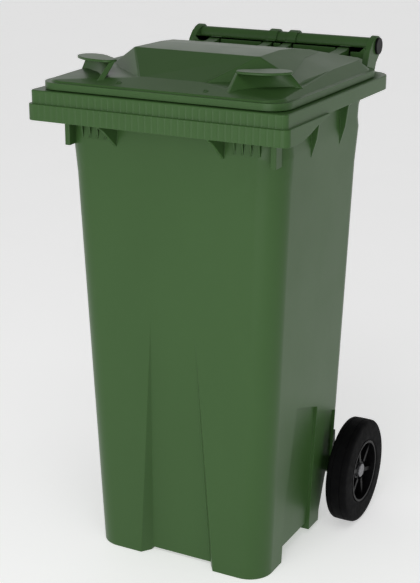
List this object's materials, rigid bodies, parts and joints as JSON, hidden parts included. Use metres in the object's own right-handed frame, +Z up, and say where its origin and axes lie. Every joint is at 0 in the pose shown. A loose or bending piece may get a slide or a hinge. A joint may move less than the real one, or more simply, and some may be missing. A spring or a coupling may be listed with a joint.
{
  "type": "wheelie bin",
  "caption": "Tall tapered green refuse bin with a hinged domed lid, rear handle bar, lifting comb under the front rim and a wheel axle across the lower rear.",
  "frame": {"origin": "on the ground, in the middle of the overall width and depth", "axes": "+X to the bin's right seen from the front, +Y towards the handle at the rear, +Z up"},
  "size_m": [0.48, 0.5285, 0.921],
  "materials": {
    "green_plastic": "satin moulded polyethylene",
    "black_plastic": "satin moulded",
    "tyre_rubber": "matt solid rubber",
    "steel": "plain drawn bar",
    "zinc_steel": "zinc plated pressing"
  },
  "bodies": {
    "tub_body": {"tub": "green_plastic", "handle_bar": "green_plastic", "axle": "steel", "bar_cap_left": "black_plastic", "bar_cap_right": "black_plastic", "axle_cap_left": "zinc_steel", "axle_cap_right": "zinc_steel", "axle_spacer_left": "black_plastic", "axle_spacer_right": "black_plastic"},
    "lid_body": {"lid": "green_plastic"},
    "wheel_left_body": {"tyre_left": "tyre_rubber", "hub_left": "black_plastic"},
    "wheel_right_body": {"tyre_right": "tyre_rubber", "hub_right": "black_plastic"}
  },
  "joints": [
    {"name": "lid_hinge", "type": "hinge", "parent": "tub_body", "child": "lid_body", "pos_m": [0, 0.2445, 0.898], "axis": [-1, 0, 0], "range_deg": [0, 270]},
    {"name": "wheel_left_spin", "type": "hinge", "parent": "tub_body", "child": "wheel_left_body", "pos_m": [-0.217, 0.1315, 0.1], "axis": [1, 0, 0], "continuous": true},
    {"name": "wheel_right_spin", "type": "hinge", "parent": "tub_body", "child": "wheel_right_body", "pos_m": [0.217, 0.1315, 0.1], "axis": [1, 0, 0], "continuous": true}
  ]
}
